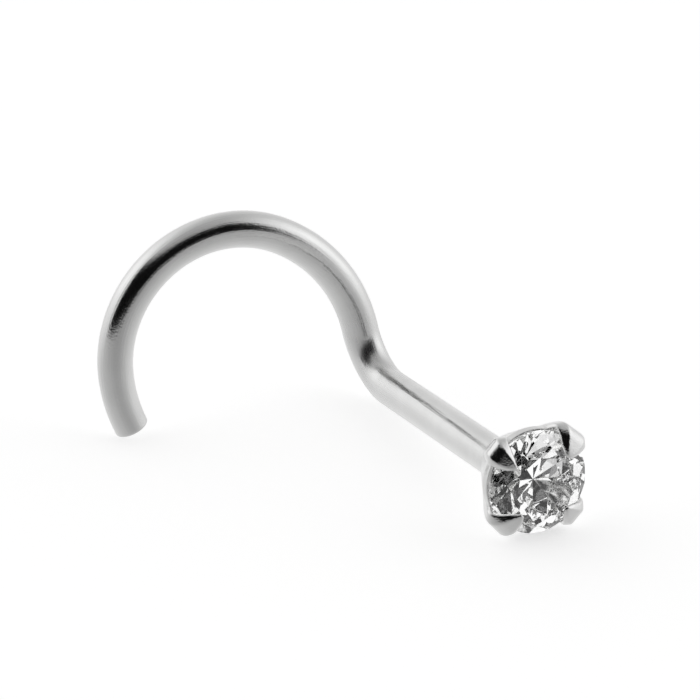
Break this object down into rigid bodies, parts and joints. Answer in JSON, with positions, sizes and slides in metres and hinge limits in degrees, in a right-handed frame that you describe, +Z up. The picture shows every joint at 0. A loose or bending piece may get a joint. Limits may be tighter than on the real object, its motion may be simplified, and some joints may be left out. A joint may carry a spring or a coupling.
{
  "type": "nose stud",
  "caption": "Nose screw stud: a round faceted clear stone in a claw setting, soldered to a straight post that bends square into an open hook, lying as it rests.",
  "frame": {"origin": "on the surface that the stud lies on, under the middle of its bounding box", "axes": "+Z up; the post runs along Y, with the stone at its -Y end and looking towards -Y; the hook is at the +Y end and opens downwards, its free end towards -X"},
  "size_m": [0.0074, 0.0088, 0.0045],
  "materials": {
    "silver": "satin-polished silver, smooth, with soft reflections",
    "stone": "clear cut stone with polished flat facets"
  },
  "bodies": {
    "root": {"nose_screw_with_claw_setting": "silver", "round_stone": "stone"}
  },
  "joints": []
}
